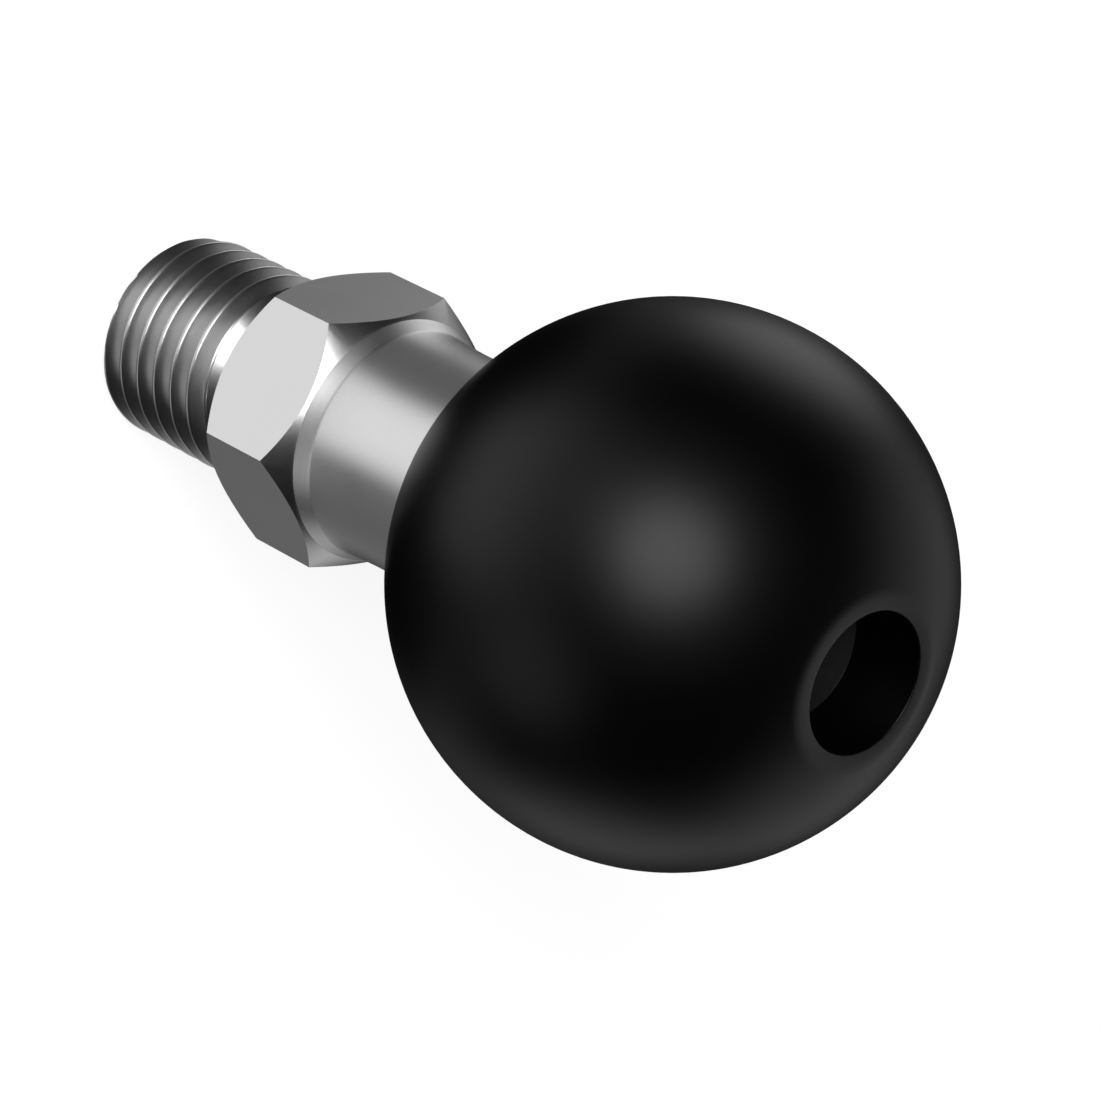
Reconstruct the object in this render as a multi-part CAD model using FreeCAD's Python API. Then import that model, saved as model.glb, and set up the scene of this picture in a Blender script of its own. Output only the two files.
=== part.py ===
import FreeCAD, Part

import math
import os

# Threaded ball stud: a turned steel stud with a black ball moulded on its plain end.
# Millimetres, +Z up. The stud stands on the flat end of its thread, the ball on top.
# The origin is the centre of that flat end, so the foot lies in the plane Z = 0.

# Thread
thread_diameter = 10.0      # over the crests
thread_length = 10.0        # from the flat end to the seat, the hexagon's lower face
end_chamfer = 0.9           # lead-in at 45 degrees, down to just under the thread's root

# Relief groove, where the thread runs out against the seat
relief_depth = 0.9          # below the crests, reached over a run-out at 45 degrees
relief_floor_width = 1.5    # from the run-out to the seat

# Hexagon for the spanner
hexagon_across_flats = 12.0
hexagon_length = 6.0
hexagon_chamfer_angle = 45.0    # between chamfer and end face

# Neck
neck_diameter = 10.8
collar_step = 0.45          # by how much the collar's foot is wider than the neck, each side
collar_angle = 20.0         # slope of the collar, against the axis
neck_rounding = 3.3         # hollow blend between collar and neck

# Shank, the part of the neck that the ball is moulded round
shank_depth = 10.0          # from the ball's mouth to the shank's end
shank_chamfer = 0.6

# Ball
ball_diameter = 25.0
seat_to_ball_centre = 24.8
recess_diameter = 6.5
recess_depth = 3.8          # from the land to the recess's floor
land_width = 0.8            # flat ring round the recess, before its rim is rounded
land_rounding = 1.5         # from the flat over into the sphere

# Radii and heights that follow
thread_radius = thread_diameter / 2
neck_radius = neck_diameter / 2
face_radius = neck_radius + collar_step     # both end faces of the hexagon, inside the chamfers
ball_radius = ball_diameter / 2
land_radius = recess_diameter / 2 + land_width
seat_z = thread_length
hexagon_top_z = seat_z + hexagon_length
ball_centre_z = seat_z + seat_to_ball_centre
mouth_z = ball_centre_z - math.sqrt(ball_radius ** 2 - neck_radius ** 2)
shank_end_z = mouth_z + shank_depth
land_z = ball_centre_z + math.sqrt(ball_radius ** 2 - land_radius ** 2)


def at(radius, z):
    """A point of a turned profile, drawn in the XZ plane."""
    return FreeCAD.Vector(radius, 0, z)


def rounded_corner(before, corner, after, rounding):
    """The arc that rounds one corner of a profile, tangent to both its sides."""
    to_before = (before - corner).normalize()
    to_after = (after - corner).normalize()
    half_angle = to_before.getAngle(to_after) / 2
    setback = rounding / math.tan(half_angle)
    bisector = (to_before + to_after).normalize()
    centre = corner + bisector * (rounding / math.sin(half_angle))
    start = corner + to_before * setback
    middle = centre - bisector * rounding
    end = corner + to_after * setback
    return Part.Arc(start, middle, end).toShape()


def edges_along(corners):
    """Edges through the corners (point, rounding) of an open profile."""
    edges = []
    start = corners[0][0]
    for index in range(1, len(corners)):
        corner, rounding = corners[index]
        end = corner
        arc = None
        if rounding:
            arc = rounded_corner(corners[index - 1][0], corner, corners[index + 1][0], rounding)
            end = arc.Vertexes[0].Point
        edges.append(Part.LineSegment(start, end).toShape())
        start = end
        if arc:
            edges.append(arc)
            start = arc.Vertexes[-1].Point
    return edges


def turned(edges):
    """The solid that a profile closed along the axis sweeps in one full turn."""
    first = edges[0].Vertexes[0].Point
    last = edges[-1].Vertexes[-1].Point
    outline = Part.Wire(edges + [Part.LineSegment(last, first).toShape()])
    return Part.Face(outline).revolve(at(0, 0), FreeCAD.Vector(0, 0, 1), 360)


def thread_and_relief():
    """Profile of the thread blank, its lead-in chamfer and the relief groove under the seat."""
    relief_radius = thread_radius - relief_depth
    groove_floor_z = seat_z - relief_floor_width
    last_crest_z = groove_floor_z - relief_depth
    return [
        (at(0, 0), 0),
        (at(thread_radius - end_chamfer, 0), 0),
        (at(thread_radius, end_chamfer), 0),
        (at(thread_radius, last_crest_z), 0),
        (at(relief_radius, groove_floor_z), 0),
        (at(relief_radius, seat_z), 0),
    ]


def collar_and_neck():
    """Profile of the core inside the hexagon, the tapered collar, and the neck."""
    collar_length = collar_step / math.tan(math.radians(collar_angle))
    return [
        (at(neck_radius, seat_z), 0),
        (at(neck_radius, hexagon_top_z), 0),
        (at(face_radius, hexagon_top_z), 0),
        (at(neck_radius, hexagon_top_z + collar_length), neck_rounding),
    ]


def shank():
    """Profile of the plain shank that the ball is moulded round."""
    return [
        (at(neck_radius, shank_end_z - shank_chamfer), 0),
        (at(neck_radius - shank_chamfer, shank_end_z), 0),
        (at(0, shank_end_z), 0),
    ]


def hexagon():
    """Spanner hexagon, two corners on the X axis, with a cone's chamfer at both ends."""
    corner_radius = hexagon_across_flats / 2 / math.cos(math.pi / 6)
    corners = []
    for index in range(7):
        angle = index * math.pi / 3
        corner = at(corner_radius * math.cos(angle), seat_z)
        corner.y = corner_radius * math.sin(angle)
        corners.append(corner)
    prism = Part.Face(Part.makePolygon(corners)).extrude(FreeCAD.Vector(0, 0, hexagon_length))
    wide_radius = face_radius + hexagon_length / math.tan(math.radians(hexagon_chamfer_angle))
    widening = Part.makeCone(face_radius, wide_radius, hexagon_length, at(0, seat_z))
    narrowing = Part.makeCone(wide_radius, face_radius, hexagon_length, at(0, seat_z))
    return prism.common(widening).common(narrowing)


def stud():
    """The whole turned stud, one piece of bright steel."""
    turned_form = turned(edges_along(thread_and_relief() + collar_and_neck() + shank()))
    return turned_form.fuse(hexagon()).removeSplitter()


def ball_blank():
    """Sphere with its flat land, the land's rim rounded over into the sphere."""
    south = at(0, ball_centre_z - ball_radius)
    rounding_centre_z = land_z - land_rounding
    rounding_centre_radius = math.sqrt(
        (ball_radius - land_rounding) ** 2 - (rounding_centre_z - ball_centre_z) ** 2)
    tilt = math.atan2(rounding_centre_radius, rounding_centre_z - ball_centre_z)
    on_sphere = at(ball_radius * math.sin(tilt), ball_centre_z + ball_radius * math.cos(tilt))
    on_rounding = at(
        rounding_centre_radius + land_rounding * math.sin(tilt / 2),
        rounding_centre_z + land_rounding * math.cos(tilt / 2))
    on_land = at(rounding_centre_radius, land_z)
    return turned([
        Part.Arc(south, at(ball_radius, ball_centre_z), on_sphere).toShape(),
        Part.Arc(on_sphere, on_rounding, on_land).toShape(),
        Part.LineSegment(on_land, at(0, land_z)).toShape(),
    ])


def ball():
    """Moulded ball, closed round the shank below and with a blind round recess on top."""
    recess = Part.makeCylinder(recess_diameter / 2, recess_depth, at(0, land_z - recess_depth))
    # The socket starts well below the ball, so that it opens through the ball's underside.
    below_ball = at(0, ball_centre_z - ball_diameter)
    socket = turned(edges_along([(below_ball, 0), (at(neck_radius, below_ball.z), 0)] + shank()))
    return ball_blank().cut([recess, socket]).removeSplitter()


os.makedirs("parts", exist_ok=True)
for name, shape in (("stud", stud()), ("ball", ball())):
    solid = shape.Solids[0]
    solid.exportStep("parts/" + name + ".step")
    print(name, "solids", len(shape.Solids), "valid", solid.isValid(), "volume mm3", round(solid.Volume, 1))
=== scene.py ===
# %% [markdown]
# # A threaded ball stud
#
# This lesson dresses a small machine part for its portrait. The part is a turned steel stud with an
# M10 x 1.25 thread, a 12 mm hexagon and a plain neck, and a black ball moulded on the neck's end.
# The engineering model is loaded first and stays where it is. Each new surface is built round it in the
# same frame, in metres, with the stud standing on the thread's flat end and +Z pointing at the ball.

import math

import bmesh
import bpy
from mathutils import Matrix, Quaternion, Vector


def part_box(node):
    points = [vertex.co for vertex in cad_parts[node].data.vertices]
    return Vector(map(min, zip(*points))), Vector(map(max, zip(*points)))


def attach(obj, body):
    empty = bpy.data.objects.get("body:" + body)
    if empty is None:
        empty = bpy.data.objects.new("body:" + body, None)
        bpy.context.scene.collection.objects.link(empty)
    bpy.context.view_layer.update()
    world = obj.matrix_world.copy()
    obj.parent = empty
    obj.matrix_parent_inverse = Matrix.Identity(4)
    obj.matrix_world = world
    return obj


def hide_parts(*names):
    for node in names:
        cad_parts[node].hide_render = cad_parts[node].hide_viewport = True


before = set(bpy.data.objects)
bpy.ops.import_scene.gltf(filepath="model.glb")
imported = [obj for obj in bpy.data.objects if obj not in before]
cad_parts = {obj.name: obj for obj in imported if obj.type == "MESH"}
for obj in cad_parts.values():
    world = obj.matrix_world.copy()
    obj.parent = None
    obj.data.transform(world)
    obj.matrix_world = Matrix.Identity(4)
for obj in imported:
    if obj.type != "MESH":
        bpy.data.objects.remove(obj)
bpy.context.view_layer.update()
stud_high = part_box("stud")[1]
ball_low, ball_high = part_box("ball")
bpy.context.scene.view_settings.view_transform = "Standard"
print("engineering model:", sorted(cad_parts))

# %% [markdown]
# ## Sizes
#
# What the frame can tell is read from it: half the hexagon's width is how far the stud reaches along Y,
# and the ball's radius is how far the ball reaches along X. The rest is a list of sizes as on a drawing,
# in millimetres, turned into metres once. A size that follows from another is worked out, so a change
# of one length can't leave its neighbour behind.

# %% Sizes from the frame and from the drawing
MM = 0.001
flat_distance = stud_high.y                 # from the axis to a flat of the hexagon
ball_radius = ball_high.x
land_height = ball_high.z                   # the flat ring on top of the ball
mouth_height = ball_low.z                   # where the neck enters the ball
shank_end_height = stud_high.z

thread_radius = 5.0 * MM                    # over the crests
thread_pitch = 1.25 * MM
lead_in = 0.9 * MM                          # 45 degree chamfer at the flat end
relief_depth = 0.9 * MM                     # groove under the hexagon, below the crests
relief_floor = 1.5 * MM
seat_height = 10.0 * MM                     # lower face of the hexagon
hexagon_length = 6.0 * MM
face_radius = 5.85 * MM                     # end faces of the hexagon, inside the chamfers
neck_radius = 5.4 * MM
shank_chamfer = 0.6 * MM
land_rounding = 1.5 * MM
recess_radius = 3.25 * MM
recess_depth = 3.8 * MM

hexagon_top = seat_height + hexagon_length
relief_radius = thread_radius - relief_depth
ball_centre = Vector((0, 0, mouth_height + math.sqrt(ball_radius ** 2 - neck_radius ** 2)))
print("ball centre at", round(ball_centre.z / MM, 2), "mm, radius", round(ball_radius / MM, 2))

# %% [markdown]
# ## Two helpers for node trees
#
# Both the thread and the finishes are recipes made of nodes. Writing them by hand takes many lines, so
# two small classes shorten it. The first wraps a socket that gives a number. Ordinary arithmetic on it,
# such as `1 - mask`, adds the Math nodes by itself and reads like the formula that it is.

# %% A number that varies
class Number:
    """A number that varies over a surface. Arithmetic on it adds Math nodes to its tree."""

    def __init__(self, tree, socket):
        self.tree = tree
        self.socket = socket

    def __add__(self, other):
        return self.tree.math("ADD", self, other)

    def __radd__(self, other):
        return self.tree.math("ADD", other, self)

    def __sub__(self, other):
        return self.tree.math("SUBTRACT", self, other)

    def __rsub__(self, other):
        return self.tree.math("SUBTRACT", other, self)

    def __mul__(self, other):
        return self.tree.math("MULTIPLY", self, other)

    def __rmul__(self, other):
        return self.tree.math("MULTIPLY", other, self)

    def __truediv__(self, other):
        return self.tree.math("DIVIDE", self, other)

    def __rtruediv__(self, other):
        return self.tree.math("DIVIDE", other, self)

    def smaller(self, other):
        return self.tree.math("MINIMUM", self, other)

    def larger(self, other):
        return self.tree.math("MAXIMUM", self, other)

    def eased(self, low, high):
        """0 below low, 1 above high, and an S-shaped rise between them."""
        return self.tree.number(
            "ShaderNodeMapRange", {"interpolation_type": "SMOOTHSTEP"},
            {"Value": self, "From Min": low, "From Max": high}, "Result")


# %% [markdown]
# The second class holds the recipe. `Tree.add` makes one node: its settings first, because they decide
# which sockets exist, then a value or a link for each socket. Arithmetic that has no sign of its own,
# such as a square root, goes through `Tree.math`.

# %% A tree that grows node by node
class Tree:
    """A node tree that grows by one node at a time."""

    def __init__(self, tree):
        self.tree = tree

    def feed(self, socket, value):
        """Gives a socket a plain value, or links it to a number or to another socket."""
        if isinstance(value, Number):
            value = value.socket
        if isinstance(value, bpy.types.NodeSocket):
            self.tree.links.new(value, socket)
        else:
            socket.default_value = value

    def add(self, kind, settings, inputs):
        """One node with its settings, and what its sockets get."""
        node = self.tree.nodes.new(kind)
        for name, value in settings.items():
            setattr(node, name, value)
        for key, value in inputs.items():
            self.feed(node.inputs[key], value)
        return node

    def number(self, kind, settings, inputs, output=0):
        """The same, for a node whose output is a number."""
        return Number(self, self.add(kind, settings, inputs).outputs[output])

    def math(self, operation, *values):
        """A Math node on the values, in their order."""
        return self.number("ShaderNodeMath", {"operation": operation}, dict(enumerate(values)))

    def xyz(self, vector):
        """The three parts of a vector."""
        parts = self.add("ShaderNodeSeparateXYZ", {}, {0: vector})
        return [Number(self, parts.outputs[axis]) for axis in "XYZ"]


# %% [markdown]
# ## The thread
#
# On the real stud a tool follows a helix round the blank and leaves a 60 degree groove with a rounded
# root. It could be swept along a spiral curve, but a sweep twists and its ends stay open. A thread is
# better seen as a rule: at any angle and height, the surface's radius is known. So a flat grid is
# rolled into a tube whose rows climb by one pitch in each turn, and a Set Position node moves every
# point to the radius that the rule gives. Because the rows follow the helix, every crest stays a clean
# line. Rows that would reach past the ends are pressed flat there and merged.
#
# One pitch has 16 steps or a multiple of it, because the standard profile has its corners there: the
# crest is an eighth of the pitch wide, and the root's arc starts an eighth away from its middle.

# %% The thread's named inputs
def geometry_tree(name, inputs):
    """An empty geometry tree with its named inputs, and what each of them gives."""
    group = bpy.data.node_groups.new(name, "GeometryNodeTree")
    for label, kind in inputs.items():
        group.interface.new_socket(name=label, in_out="INPUT", socket_type=kind)
    group.interface.new_socket(name="Surface", in_out="OUTPUT", socket_type="NodeSocketGeometry")
    tree = Tree(group)
    given = tree.add("NodeGroupInput", {}, {})
    return tree, {label: Number(tree, given.outputs[label]) for label in inputs}


counts = ("Columns", "Rows per turn", "Turns")
lengths = ("Pitch", "Radius", "Length", "Lead-in", "Relief depth", "Relief floor", "First crest",
           "Crest rounding")
tree, size = geometry_tree("helical_thread", {
    **dict.fromkeys(counts, "NodeSocketInt"),
    **dict.fromkeys(lengths, "NodeSocketFloat"),
    "Finish": "NodeSocketMaterial",
})
print("thread inputs:", ", ".join(size))

# %% [markdown]
# The grid's UV map tells each point its column and its row as shares between 0 and 1. The rows begin
# two turns below the first crest, so that even the lowest part of the helix reaches the flat end.

# %% The climbing rows
turns_below = 2
grid = tree.add("GeometryNodeMeshGrid", {}, {
    "Size X": 1.0, "Size Y": 1.0,
    "Vertices X": size["Columns"] + 1,
    "Vertices Y": size["Rows per turn"] * size["Turns"] + 1,
})
round_share, row_share, _ = tree.xyz(grid.outputs["UV Map"])     # 0 to 1 once round the axis, and upwards
crests_up = row_share * size["Turns"]                            # whole on every crest
climb = size["First crest"] + (crests_up + round_share - turns_below) * size["Pitch"]
height = climb.larger(0).smaller(size["Length"])
print("thread tree:", len(tree.tree.nodes), "nodes for the rows")

# %% [markdown]
# The profile is measured from the middle of the root. The flank is a straight line that would end in
# a sharp point, the apex, and the root's arc cuts that point off. A smooth maximum with zero cuts the
# crest flat and rounds its two corners a little, so that they catch a soft line of light. The smaller
# of the thread's radius and the blank's radius wins, so the lead-in chamfer and the relief groove cut
# through the crests just as they do on the real part.

# %% The thread's profile and its blank
half_flank_angle = math.radians(30)
crest_edge = 7 / 16                         # from the root's middle, in pitches
arc_edge = 1 / 8                            # the same, for the root's arc
pitch = size["Pitch"]
from_root = tree.math("ABSOLUTE", tree.math("FRACT", crests_up) - 0.5) * pitch
apex = pitch * (crest_edge / math.tan(half_flank_angle))
root_radius = pitch * (arc_edge / math.cos(half_flank_angle))
flank = apex - from_root / math.tan(half_flank_angle)
inside_arc = (root_radius * root_radius - from_root * from_root).larger(0)
arc = apex - 2 * root_radius + tree.math("SQRT", inside_arc)
in_arc = tree.math("LESS_THAN", from_root, pitch * arc_edge)
depth = flank + (arc - flank) * in_arc
depth = tree.math("SMOOTH_MAX", depth, 0, size["Crest rounding"])

blank_end = size["Radius"] - size["Lead-in"] + height
groove_start = size["Length"] - size["Relief floor"]
groove = size["Radius"] - size["Relief depth"] + (groove_start - height).larger(0)
blank = size["Radius"].smaller(blank_end).smaller(groove)
radius = blank.smaller(size["Radius"] - depth)
print("thread tree:", len(tree.tree.nodes), "nodes with the profile")

# %% [markdown]
# Angle, radius and height together are the place of each point. The first and the last column fall on
# each other there, and the pressed rows too, so points that touch are merged and the tube closes.

# %% Roll the grid and finish the tree
merge_reach = 1e-7                          # metres; no two rows of the thread itself lie so close
angle = round_share * math.tau
point = tree.add("ShaderNodeCombineXYZ", {}, {
    "X": radius * tree.math("COSINE", angle),
    "Y": radius * tree.math("SINE", angle),
    "Z": height,
})
rolled = tree.add("GeometryNodeSetPosition", {}, {
    "Geometry": grid.outputs["Mesh"], "Position": point.outputs[0]})
merged = tree.add("GeometryNodeMergeByDistance", {}, {
    "Geometry": rolled.outputs[0], "Distance": merge_reach})
smooth = tree.add("GeometryNodeSetShadeSmooth", {}, {"Geometry": merged.outputs[0]})
real = tree.add("GeometryNodeRealizeInstances", {}, {"Geometry": smooth.outputs[0]})
finished = tree.add("GeometryNodeSetMaterial", {}, {
    "Geometry": real.outputs[0], "Material": size["Finish"]})
tree.add("NodeGroupOutput", {}, {0: finished.outputs[0]})
print("thread tree:", len(tree.tree.nodes), "nodes in all")

# %% [markdown]
# A modifier runs the tree. Its inputs are set by the identifiers of their sockets, and then the result
# is taken out as a plain mesh. The number of columns divides by 6, so that the hexagon's corners and
# the thread can share them and the two halves of the stud meet point to point.

# %% Make the thread
def plain_mesh(thing):
    """The object's mesh with its modifiers worked in."""
    seen = thing.evaluated_get(bpy.context.evaluated_depsgraph_get())
    mesh = bpy.data.meshes.new_from_object(seen)
    thing.modifiers.clear()
    return mesh


def material_named(name):
    """The material of that name, made the first time that it is asked for."""
    return bpy.data.materials.get(name) or bpy.data.materials.new(name)


columns = 144
crest_at_front = 2.03 * MM                  # a crest's height on the side at -Y
front_share = 270 / 360                     # that side, as a share of the turn from +X
values = {
    "Columns": columns,
    "Rows per turn": 48,
    "Turns": math.ceil(seat_height / thread_pitch) + turns_below + 1,
    "Pitch": thread_pitch,
    "Radius": thread_radius,
    "Length": seat_height,
    "Lead-in": lead_in,
    "Relief depth": relief_depth,
    "Relief floor": relief_floor,
    "First crest": crest_at_front - front_share * thread_pitch,
    "Crest rounding": 0.12 * MM,
    "Finish": material_named("cut_thread_steel"),
}
blank_object = bpy.data.objects.new("thread_form", bpy.data.meshes.new("thread_form"))
bpy.context.scene.collection.objects.link(blank_object)
modifier = blank_object.modifiers.new("thread", "NODES")
modifier.node_group = tree.tree
for item in tree.tree.interface.items_tree:
    if item.in_out == "INPUT":
        modifier[item.identifier] = values[item.name]
thread_mesh = plain_mesh(blank_object)
bpy.data.objects.remove(blank_object)
print("thread:", len(thread_mesh.polygons), "faces")

# %% [markdown]
# ## Hexagon, collar and neck
#
# The bar that the stud is turned from is hexagonal, and a lathe tool bevels both its ends: where a flat
# plane meets a cone, the edge is the curved arc seen on every nut. A six-sided prism with a plain bevel
# would miss that arc. Here each column of points knows where the flat lies at its angle, and so where
# the cone cuts it. Rings of points are stacked from the relief groove upwards and joined with quads.

# %% Rings of points
def angles():
    """The angle of each column of points."""
    return [math.tau * index / columns for index in range(columns)]


def ring(radius, height):
    """A level ring of points."""
    return [Vector((radius * math.cos(a), radius * math.sin(a), height)) for a in angles()]


def hexagon_radius(angle):
    """From the axis to the flats, with two corners on the X axis."""
    return flat_distance / math.cos(angle % (math.pi / 3) - math.pi / 6)


def hexagon_ring(end_height, direction):
    """The arcs where a 45 degree chamfer meets the six flats. direction is +1 for the lower end."""
    points = []
    for a in angles():
        r = hexagon_radius(a)
        chamfer_height = end_height + direction * (r - face_radius)
        points.append(Vector((r * math.cos(a), r * math.sin(a), chamfer_height)))
    return points


def arc_points(centre, radius, start, end, steps):
    """Points (r, z) along an arc of a turned profile. Angles are in radians from the +r direction."""
    turn = [start + (end - start) * step / steps for step in range(steps + 1)]
    return [(centre[0] + radius * math.cos(t), centre[1] + radius * math.sin(t)) for t in turn]


print("each ring has", columns, "points, one every", 360 / columns, "degrees")


# %% [markdown]
# A skin of quads joins each ring to the next one. At the ends of a form the ring shrinks to a single
# point on the axis, and the quads there become a fan of triangles, so that no hole is left.

# %% A skin over the rings
def skin(form, rings, material_of=lambda index: 0):
    """Quads between neighbouring rings. A ring of one point closes the form in a fan."""
    layers = [[form.verts.new(point) for point in points] for points in rings]
    for index, (low, high) in enumerate(zip(layers, layers[1:])):
        for column in range(columns):
            following = (column + 1) % columns
            corners = [low[column % len(low)], low[following % len(low)],
                       high[following % len(high)], high[column % len(high)]]
            face = form.faces.new(list(dict.fromkeys(corners)))
            face.smooth = True
            face.material_index = material_of(index)


# %% [markdown]
# Above the hexagon's end face the collar leans in by 24 degrees. A small hollow corner turns it almost
# upright, and a long arc takes the last 5 degrees out of it over the neck's first millimetres. On the
# real part that makes a narrow ring with a crisp upper edge under a neck that narrows slowly. The two
# arcs touch in one point with one direction, so their centres lie on one line through that point. The
# chain is measured from the straight neck back to the collar, and set down where the collar meets it.

# %% The collar and the neck's flare
collar_angle = math.radians(24)             # slope of the collar against the axis
corner_rounding = 0.5 * MM                  # hollow corner between collar and neck
flare_angle = math.radians(5)               # how far the neck still leans above that corner
flare_rounding = 31 * MM                    # its long arc into the straight neck

flare_start_r = neck_radius + flare_rounding * (1 - math.cos(flare_angle))
corner_r = flare_start_r + corner_rounding * math.cos(flare_angle)
collar_end_r = corner_r - corner_rounding * math.cos(collar_angle)
collar_end_z = hexagon_top + (face_radius - collar_end_r) / math.tan(collar_angle)
corner_z = collar_end_z + corner_rounding * math.sin(collar_angle)
flare_start_z = corner_z - corner_rounding * math.sin(flare_angle)
flare_end_z = flare_start_z + flare_rounding * math.sin(flare_angle)

inwards = math.pi                           # both arcs bulge towards the axis
corner = arc_points(
    (corner_r, corner_z), corner_rounding, inwards + collar_angle, inwards + flare_angle, steps=6)
flare = arc_points(
    (neck_radius + flare_rounding, flare_end_z), flare_rounding, inwards + flare_angle, inwards, steps=6)
print("collar ends at", round(collar_end_z / MM, 2), "mm and the flare at", round(flare_end_z / MM, 2))

# %% [markdown]
# The rings go from the groove under the seat, over the hexagon's two chamfers and the collar, up to
# the end of the shank that the ball hides. One layer holds the flats, which get a finish of their own.

# %% Build the upper part of the stud
rings = [
    ring(relief_radius, seat_height),
    ring(face_radius, seat_height),
    hexagon_ring(seat_height, direction=1),
    hexagon_ring(hexagon_top, direction=-1),
    ring(face_radius, hexagon_top),
]
rings += [ring(r, z) for r, z in corner + flare[1:]]
rings += [
    ring(neck_radius, shank_end_height - shank_chamfer),
    ring(neck_radius - shank_chamfer, shank_end_height),
    [Vector((0, 0, shank_end_height))],
]
flats_layer = 2
TURNED, FLATS, THREAD = 0, 1, 2
form = bmesh.new()
skin(form, rings, lambda index: FLATS if index == flats_layer else TURNED)
print("upper stud:", len(form.faces), "faces in", len(rings) - 1, "layers")

# %% [markdown]
# ## One stud from two halves
#
# The thread is poured into the same form, doubles along the shared ring are merged, and the open end is
# closed with the flat foot. After that no edge of the stud may be open.

# %% Join the halves and close the foot
same_point = 0.0005 * MM
for polygon in thread_mesh.polygons:
    polygon.material_index = THREAD
form.from_mesh(thread_mesh)
bmesh.ops.remove_doubles(form, verts=form.verts, dist=same_point)
rim = [edge for edge in form.edges if edge.is_boundary]
foot = bmesh.ops.holes_fill(form, edges=rim)["faces"]
for face in foot:
    face.material_index = TURNED
bmesh.ops.recalc_face_normals(form, faces=form.faces)
open_edges = sum(not edge.is_manifold for edge in form.edges)
print("joined stud:", len(form.faces), "faces,", open_edges, "open edges")

# %% [markdown]
# No machined edge is truly sharp. The hexagon's edges and the foot's rim get a bevel of about a tenth
# of a millimetre, which catches a thin line of light. A Bevel modifier that goes by angle would find
# the thread too, so the edges to bevel are chosen by their height and given a bevel weight.

# %% Choose the edges to bevel
hair = 0.01 * MM                            # smaller than any detail
least_turn = math.radians(20)               # flatter edges only follow a curve
weight = form.edges.layers.float.new("bevel_weight_edge")
bevelled = 0
for edge in form.edges:
    level = (edge.verts[0].co.z + edge.verts[1].co.z) / 2
    on_hexagon = seat_height - hair < level < hexagon_top + hair
    on_foot = level < hair
    if (on_hexagon or on_foot) and len(edge.link_faces) == 2 and edge.calc_face_angle() > least_turn:
        edge[weight] = 1
        bevelled += 1
stud_mesh = bpy.data.meshes.new("stud_form")
form.to_mesh(stud_mesh)
form.free()
print("edges to bevel:", bevelled)

# %% [markdown]
# The bevel comes first. On its result, every edge that still turns by more than 25 degrees is marked
# sharp, such as the lines where the lead-in chamfer and the relief groove cut the thread. Weighted
# normals then keep the big flats flat beside their small bevels.

# %% Finish the stud's mesh
def new_object(name, mesh, materials):
    thing = bpy.data.objects.new(name, mesh)
    bpy.context.scene.collection.objects.link(thing)
    mesh.materials.clear()
    for material in materials:
        mesh.materials.append(material)
    return thing


stud_finishes = ("turned_steel", "drawn_flat_steel", "cut_thread_steel")
stud = new_object("turned_stud", stud_mesh, [material_named(name) for name in stud_finishes])
bevel = stud.modifiers.new("edge break", "BEVEL")
bevel.limit_method = "WEIGHT"
bevel.width = 0.09 * MM
bevel.segments = 3
stud.data = plain_mesh(stud)
stud.data.set_sharp_from_angle(angle=math.radians(25))
flat = stud.modifiers.new("flat flats", "WEIGHTED_NORMAL")
flat.keep_sharp = True
stud.data = plain_mesh(stud)
print("finished stud:", len(stud.data.polygons), "faces")

# %% [markdown]
# ## The ball
#
# The ball is moulded round the stud's end. A ready-made sphere has no mouth, land or recess, so a
# profile is drawn from the inside of the socket, round a small lip where the neck enters, over the
# sphere to the flat land, and down into the blind recess. The land's rim is rounded over into the
# sphere, and the recess has a crisp edge.

# %% Draw the ball's profile
lip_rounding = 0.12 * MM
recess_edge = 0.06 * MM                     # rounding where the recess opens
recess_corner = 0.05 * MM                   # hollow rounding at its floor
centre_z = ball_centre.z
quarter = math.pi / 2

lip_r = neck_radius + lip_rounding
lip_z = centre_z - math.sqrt((ball_radius - lip_rounding) ** 2 - lip_r ** 2)
lip_turn = math.atan2(lip_z - centre_z, lip_r)
rim_z = land_height - land_rounding
rim_r = math.sqrt((ball_radius - land_rounding) ** 2 - (rim_z - centre_z) ** 2)
rim_turn = math.atan2(rim_z - centre_z, rim_r)
recess_floor = land_height - recess_depth
opening = (recess_radius + recess_edge, land_height - recess_edge)
foot_of_wall = (recess_radius - recess_corner, recess_floor + recess_corner)

profile = [(neck_radius - shank_chamfer, shank_end_height), (neck_radius, shank_end_height - shank_chamfer)]
profile += arc_points((lip_r, lip_z), lip_rounding, -math.pi, lip_turn, steps=5)
profile += arc_points((0, centre_z), ball_radius, lip_turn, rim_turn, steps=110)[1:-1]
profile += arc_points((rim_r, rim_z), land_rounding, rim_turn, quarter, steps=12)
profile += arc_points(opening, recess_edge, quarter, math.pi, steps=4)
profile += arc_points(foot_of_wall, recess_corner, 0, -quarter, steps=6)
print("ball profile:", len(profile), "points")

# %% [markdown]
# Turning the profile makes the whole moulding in one closed skin, from the end of the socket round to
# the recess's floor. Only the two corners of the socket's chamfer turn by more than 40 degrees at once.
# They become creases, and all other bends are small roundings that stay smooth.

# %% Turn the ball
rings = [[Vector((0, 0, shank_end_height))]]
rings += [ring(r, z) for r, z in profile]
rings += [[Vector((0, 0, recess_floor))]]
form = bmesh.new()
skin(form, rings)
bmesh.ops.recalc_face_normals(form, faces=form.faces)
open_edges = sum(not edge.is_manifold for edge in form.edges)
ball_mesh = bpy.data.meshes.new("ball_form")
form.to_mesh(ball_mesh)
form.free()
ball_mesh.set_sharp_from_angle(angle=math.radians(40))
ball = new_object("moulded_ball", ball_mesh, [material_named("black_moulding")])
print("ball:", len(ball_mesh.polygons), "faces,", open_edges, "open edges")

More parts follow.
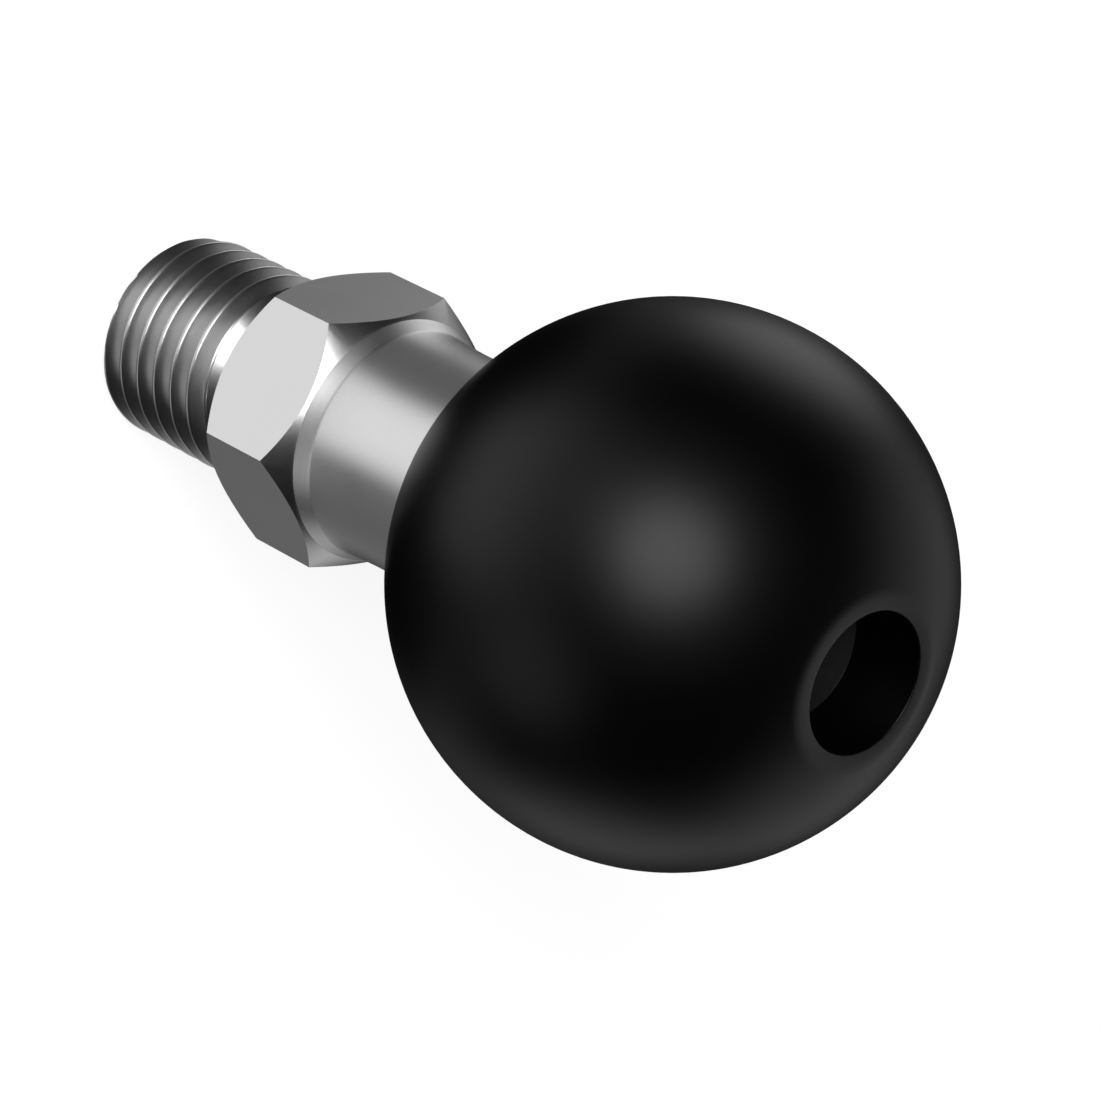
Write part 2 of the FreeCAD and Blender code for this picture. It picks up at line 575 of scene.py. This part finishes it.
# %% [markdown]
# ## Tools for the finishes
#
# Every finish is a Principled shader with three things that change over the surface: how bright the
# material is, how rough it is, and a very fine texture that a Bump node turns into shading. All of them
# read Object coordinates, so they stay on the part from every side. They are turned into millimetres
# first, so that a pattern's scale says how many spots there are in a millimetre.

# %% A shader, soft noise and what feeds the shader
def finish(name, constants):
    """A material's tree with a fresh shader, and the place on the part in millimetres."""
    material = material_named(name)
    material.use_nodes = True
    material.node_tree.nodes.clear()
    tree = Tree(material.node_tree)
    shader = tree.add("ShaderNodeBsdfPrincipled", {}, constants)
    tree.add("ShaderNodeOutputMaterial", {}, {"Surface": shader.outputs[0]})
    coordinates = tree.add("ShaderNodeTexCoord", {}, {})
    place = tree.add(
        "ShaderNodeVectorMath", {"operation": "SCALE"}, {0: coordinates.outputs["Object"], "Scale": 1 / MM})
    return tree, shader, place.outputs[0]


def noise(tree, place, per_mm):
    """Soft noise round 0, with about per_mm spots in each millimetre."""
    made = tree.number("ShaderNodeTexNoise", {"noise_dimensions": "3D"}, {
        "Vector": place, "Scale": per_mm, "Detail": 2.0, "Roughness": 0.6})
    return made - 0.5


def height_and_radius(tree, place):
    """How high a point of the part lies, and how far from the axis."""
    x, y, z = tree.xyz(place)
    return z, tree.math("SQRT", x * x + y * y)


def feed_shader(tree, shader, level, roughness, texture, texture_mm):
    """Links a grey level, a roughness and a fine texture, texture_mm deep, to the shader."""
    grey = tree.add("ShaderNodeCombineColor", {}, {"Red": level, "Green": level, "Blue": level})
    bump = tree.add("ShaderNodeBump", {}, {"Height": texture, "Distance": texture_mm * MM, "Strength": 1.0})
    tree.feed(shader.inputs["Base Color"], grey.outputs[0])
    tree.feed(shader.inputs["Roughness"], roughness)
    tree.feed(shader.inputs["Normal"], bump.outputs[0])


# %% [markdown]
# ## Turned steel
#
# All three steels are the same bright metal: a grey reflection, no colour of its own, and a satin
# roughness. What tells them apart is how each surface was cut. A turned surface has fine rings round
# the axis. They need one number that changes across the tool marks and stays the same along them, and
# height plus part of the radius does that on a cylinder, a cone and a flat face alike. The collar is a
# little duller than the neck, as the photograph shows it.

# %% The turned surfaces
steel_level = 0.64
tree, shader, place = finish("turned_steel", {"Metallic": 1.0})
height, radius = height_and_radius(tree, place)
tool_travel = 1.3 * height + 0.6 * radius
tool_marks = tree.number(
    "ShaderNodeTexNoise", {"noise_dimensions": "1D"}, {"W": tool_travel, "Scale": 5.0, "Detail": 3.0})
grain = noise(tree, place, per_mm=7.0)
cloud = noise(tree, place, per_mm=0.35)
collar_foot = hexagon_top / MM
collar_end = flare_start_z / MM
on_collar = height.eased(collar_foot - 0.1, collar_foot + 0.1)
on_collar = on_collar * (1 - height.eased(collar_end - 0.2, collar_end + 0.1))
feed_shader(
    tree, shader,
    level=steel_level + 0.05 * grain + 0.04 * cloud,
    roughness=0.3 + 0.12 * on_collar + 0.05 * grain + 0.04 * cloud,
    texture=(tool_marks - 0.5) + 0.5 * grain, texture_mm=0.0015)
print("turned steel:", len(tree.tree.nodes), "nodes")

# %% [markdown]
# ## Drawn flats
#
# The hexagon's flats are the skin of the drawn bar, which no lathe tool touched. Drawing leaves a faint
# grain along the bar. Noise that is stretched about twelve times along the axis makes such streaks.

# %% The hexagon's flats
tree, shader, place = finish("drawn_flat_steel", {"Metallic": 1.0})
along_bar = (1.0, 1.0, 0.08)
streaks = tree.add("ShaderNodeVectorMath", {"operation": "MULTIPLY"}, {0: place, 1: along_bar})
grain = noise(tree, streaks.outputs[0], per_mm=6.0)
speck = noise(tree, place, per_mm=9.0)
feed_shader(
    tree, shader,
    level=steel_level + 0.04 * grain + 0.03 * speck,
    roughness=0.3 + 0.04 * grain,
    texture=grain + 0.5 * speck, texture_mm=0.0008)
print("drawn flats:", len(tree.tree.nodes), "nodes")

# %% [markdown]
# ## Cut thread
#
# A thread's roots are painted darker than its crests: painted shade in the grooves. The distance from the
# axis tells the two apart, with a fade about a tenth of a millimetre wide just below the crests.

# %% The thread's steel
# painted shade: how much darker the thread's roots are painted than its crests
root_painted_shade = 0.40
crest = thread_radius / MM
tree, shader, place = finish("cut_thread_steel", {"Metallic": 1.0})
radius = height_and_radius(tree, place)[1]
on_crest = radius.eased(crest - 0.14, crest - 0.03)
grain = noise(tree, place, per_mm=7.0)
feed_shader(
    tree, shader,
    level=steel_level - root_painted_shade + root_painted_shade * on_crest + 0.05 * grain,
    roughness=0.25 + 0.03 * on_crest + 0.04 * grain,
    texture=grain, texture_mm=0.001)
print("cut thread:", len(tree.tree.nodes), "nodes")

# %% [markdown]
# ## Black moulding
#
# A moulded ball is deep black and satin: nearly all the light that it sends back is gloss. The colour is
# close to zero, and the character is in the roughness, in a very fine moulded texture, and in the recess's
# floor, which is duller and painted a little greyer than the outside: painted light where light reaches
# into the recess.

# %% The ball's moulding
tree, shader, place = finish("black_moulding", {"Metallic": 0.0, "Specular IOR Level": 0.28})
height, radius = height_and_radius(tree, place)
below_land = land_height / MM - height
floor_depth = recess_depth / MM
# on_floor marks the recess's floor, which is rougher and painted a little greyer as painted light
on_floor = below_land.eased(floor_depth - 0.1, floor_depth - 0.02)
on_floor = on_floor * (1 - radius.eased((recess_radius - recess_corner) / MM, recess_radius / MM))
grain = noise(tree, place, per_mm=5.0)
cloud = noise(tree, place, per_mm=0.3)
feed_shader(
    tree, shader,
    level=0.0002 + 0.0001 * cloud + 0.017 * on_floor,
    roughness=0.38 + 0.02 * grain + 0.03 * cloud + 0.3 * on_floor,
    texture=grain, texture_mm=0.0006)
print("black moulding:", len(tree.tree.nodes), "nodes")

# %% [markdown]
# ## The studio
#
# Bright metal and black gloss show their surroundings more than themselves. Lamps alone would leave
# them nearly black, so the studio is painted into the world as one picture that the part mirrors. Its
# first layer is a set of soft glows, each with a direction, a width and a brightness.

# %% The studio's glows
def towards(azimuth, elevation):
    """A direction: azimuth 0 is the front, at -Y, and 90 is +X."""
    a, e = math.radians(azimuth), math.radians(elevation)
    return Vector((math.sin(a) * math.cos(e), -math.cos(a) * math.cos(e), math.sin(e)))


def cosine(degrees):
    return math.cos(math.radians(degrees))


def sine(degrees):
    return math.sin(math.radians(degrees))


DARK = 0.003                                # the studio where nothing glows
GLOWS = (
    # azimuth, elevation, full inside, gone outside (degrees), brightness
    (-17, 9, 8, 22, 1.05),          # white card in front, just above the floor
    (-118, -19, 5, 25, 1.75),       # low card at the left, behind
    (53, -9, 4, 26, 0.9),           # low card at the right
    (122, -13, 4, 26, 0.8),         # low card at the right, behind
    (156, 17, 12, 38, 0.7),         # white wall behind, in three parts
    (-152, 18, 12, 38, 0.62),
    (180, 46, 6, 26, 0.52),
)


def glow_light(tree, direction):
    """How bright the glows are in a direction."""
    level = DARK
    for azimuth, elevation, inside, outside, brightness in GLOWS:
        nearness = tree.number(
            "ShaderNodeVectorMath", {"operation": "DOT_PRODUCT"},
            {0: direction, 1: towards(azimuth, elevation)}, "Value")
        level = level + nearness.eased(cosine(outside), cosine(inside)) * brightness
    return level


print("studio:", len(GLOWS), "glows")

# %% [markdown]
# The second layer is what the part sees below the horizon. In front lies a wide white ground: brightest
# halfway down, dark straight below, and gone just above the horizon. All round the rest runs a grey band,
# also halfway down, which is weaker straight behind. Both are told by the direction's height, which is
# the sine of its elevation, and by its heading on the level.

# %% The ground in front and the band round it
GROUND_LEVEL = 1.5
GROUND_HEADING = -4.5                       # azimuth of the ground's middle
FIRST_LOSS = 0.62                           # the ground fades in two stages, this much in the first
BAND_LEVEL = 0.22
BAND_LOSS_BEHIND = 0.8


def ground_light(tree, direction):
    """How bright the white ground and the grey band are in a direction."""
    x, y, z = tree.xyz(direction)
    never_zero = 0.0001                     # keeps the length above zero straight up and down
    level_length = tree.math("SQRT", x * x + y * y + never_zero)
    ahead = towards(GROUND_HEADING, 0)

    # Both sectors are full within 20 degrees of their middle and gone at about 50.
    in_front = ((x * ahead.x + y * ahead.y) / level_length).eased(cosine(50), cosine(20))
    behind = (y / level_length).eased(cosine(48), cosine(20))

    # The ground rises from its near edge, and fades towards the horizon.
    rise = z.eased(-1.02, -0.82)
    first_fall = z.eased(-0.70, -0.15)
    last_fall = z.eased(-0.15, 0.06)
    fall = 1 - FIRST_LOSS * first_fall - (1 - FIRST_LOSS) * last_fall
    ground = GROUND_LEVEL * in_front * rise * fall

    # The band is full from 46 to 36 degrees below the horizon.
    band = z.eased(sine(-58), sine(-46)) * (1 - z.eased(sine(-36), sine(-24)))
    return ground + (1 - in_front) * BAND_LEVEL * (1 - BAND_LOSS_BEHIND * behind) * band


print("ground level", GROUND_LEVEL, "and band level", BAND_LEVEL)

# %% [markdown]
# ## The world
#
# Light Path tells which rays come straight from the camera. Those see plain white, and all others see
# the studio, so the picture that the metal mirrors never shows as a backdrop.

# %% Paint the studio into the world
world = bpy.data.worlds.new("studio")
bpy.context.scene.world = world
world.use_nodes = True
world.node_tree.nodes.clear()
tree = Tree(world.node_tree)
camera_ray = tree.number("ShaderNodeLightPath", {}, {}, "Is Camera Ray")
coordinates = tree.add("ShaderNodeTexCoord", {}, {})
direction = coordinates.outputs["Generated"]
level = glow_light(tree, direction) + ground_light(tree, direction)
background = tree.add("ShaderNodeBackground", {}, {"Strength": level + (1 - level) * camera_ray})
tree.add("ShaderNodeOutputWorld", {}, {"Surface": background.outputs[0]})
print("world:", len(tree.tree.nodes), "nodes")

# %% [markdown]
# ## The floor
#
# The floor has one job, to carry the part's soft shadow. It is hidden from reflections, because the
# ground that the metal mirrors is in the world's picture already. To the camera it looks almost white:
# a glow that only the camera sees, and over it a grey paint that the lamps light and the part shades.

# %% Lay the floor
floor_reach = 2.0                           # metres to each side
floor_paint = 0.5
floor_glow = 0.78
corners = [(-1, -1), (1, -1), (1, 1), (-1, 1)]
floor_mesh = bpy.data.meshes.new("floor")
floor_mesh.from_pydata([(x * floor_reach, y * floor_reach, 0) for x, y in corners], [], [(0, 1, 2, 3)])
pale_floor = material_named("pale_floor")
pale_floor.use_nodes = True
pale_floor.node_tree.nodes.clear()
tree = Tree(pale_floor.node_tree)
camera_ray = tree.number("ShaderNodeLightPath", {}, {}, "Is Camera Ray")
paint = tree.add("ShaderNodeBsdfDiffuse", {}, {"Color": (floor_paint, floor_paint, floor_paint, 1)})
glow = tree.add("ShaderNodeEmission", {}, {"Strength": camera_ray * floor_glow})
both = tree.add("ShaderNodeAddShader", {}, {0: paint.outputs[0], 1: glow.outputs[0]})
tree.add("ShaderNodeOutputMaterial", {}, {"Surface": both.outputs[0]})
floor = new_object("floor", floor_mesh, [pale_floor])
floor.visible_glossy = False
print("floor:", 2 * floor_reach, "m wide")

# %% [markdown]
# ## The lamps
#
# Two soft lamps face the ball. The key lamp stands in front and is small enough to show in the black
# gloss as one round soft highlight. The fill lamp is wide and high, so the shadow stays soft, and it
# is hidden from reflections, so the gloss doesn't show it a second time.

# %% Hang the lamps
def soft_lamp(name, azimuth, elevation, distance, size, brightness):
    """A round soft lamp that faces the ball. Brightness is how white its face looks."""
    data = bpy.data.lights.new(name, "AREA")
    data.shape = "DISK"
    data.size = size
    face_area = math.pi * (size / 2) ** 2
    data.energy = brightness * math.pi * face_area
    lamp = bpy.data.objects.new(name, data)
    bpy.context.scene.collection.objects.link(lamp)
    facing = towards(azimuth, elevation)
    lamp.location = ball_centre + facing * distance
    lamp.rotation_mode = "QUATERNION"
    lamp.rotation_quaternion = facing.to_track_quat("Z", "Y")
    lamp.visible_camera = False
    print(name, "gives", round(data.energy, 2), "W")
    return lamp


soft_lamp("key_lamp", azimuth=-13, elevation=33, distance=0.6, size=0.42, brightness=5.5)
fill = soft_lamp("fill_lamp", azimuth=20, elevation=70, distance=1.2, size=1.2, brightness=0.9)
fill.visible_glossy = False

# %% [markdown]
# ## The camera
#
# The camera looks down on the part from the front and is rolled far over, which lays the standing part
# on its side in the picture. Its lens and its place were fitted to the outlines of the ball, the neck
# and the thread and to the hexagon's corners. The place is given by where the ball's centre lies in the
# camera's own axes, which point to its right, up and backwards.

# %% Place the camera
azimuth = -1.03
elevation = 41.225
roll = math.radians(117.4)
ball_in_view = Vector((5.306, -1.492, -219.75)) * MM
near_limit = 0.01                           # metres; nothing nearer is drawn

camera_data = bpy.data.cameras.new("camera")
camera_data.sensor_width = 36
camera_data.lens = 165.77
camera_data.clip_start = near_limit
camera = bpy.data.objects.new("camera", camera_data)
bpy.context.scene.collection.objects.link(camera)
camera.rotation_mode = "QUATERNION"
turn = towards(azimuth, elevation).to_track_quat("Z", "Y") @ Quaternion((0, 0, 1), roll)
camera.rotation_quaternion = turn
camera.location = ball_centre - turn @ ball_in_view
bpy.context.scene.camera = camera
print("camera at", [round(x / MM, 2) for x in camera.location])

# %% [markdown]
# ## Bodies
#
# Each piece is told which body it rides on, and the solid of the engineering model that it takes the place
# of is hidden.

for piece, node, slot in ((stud, "stud", "stud_steel"), (ball, "ball", "ball_rubber")):
    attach(piece, "root")
    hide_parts(node)
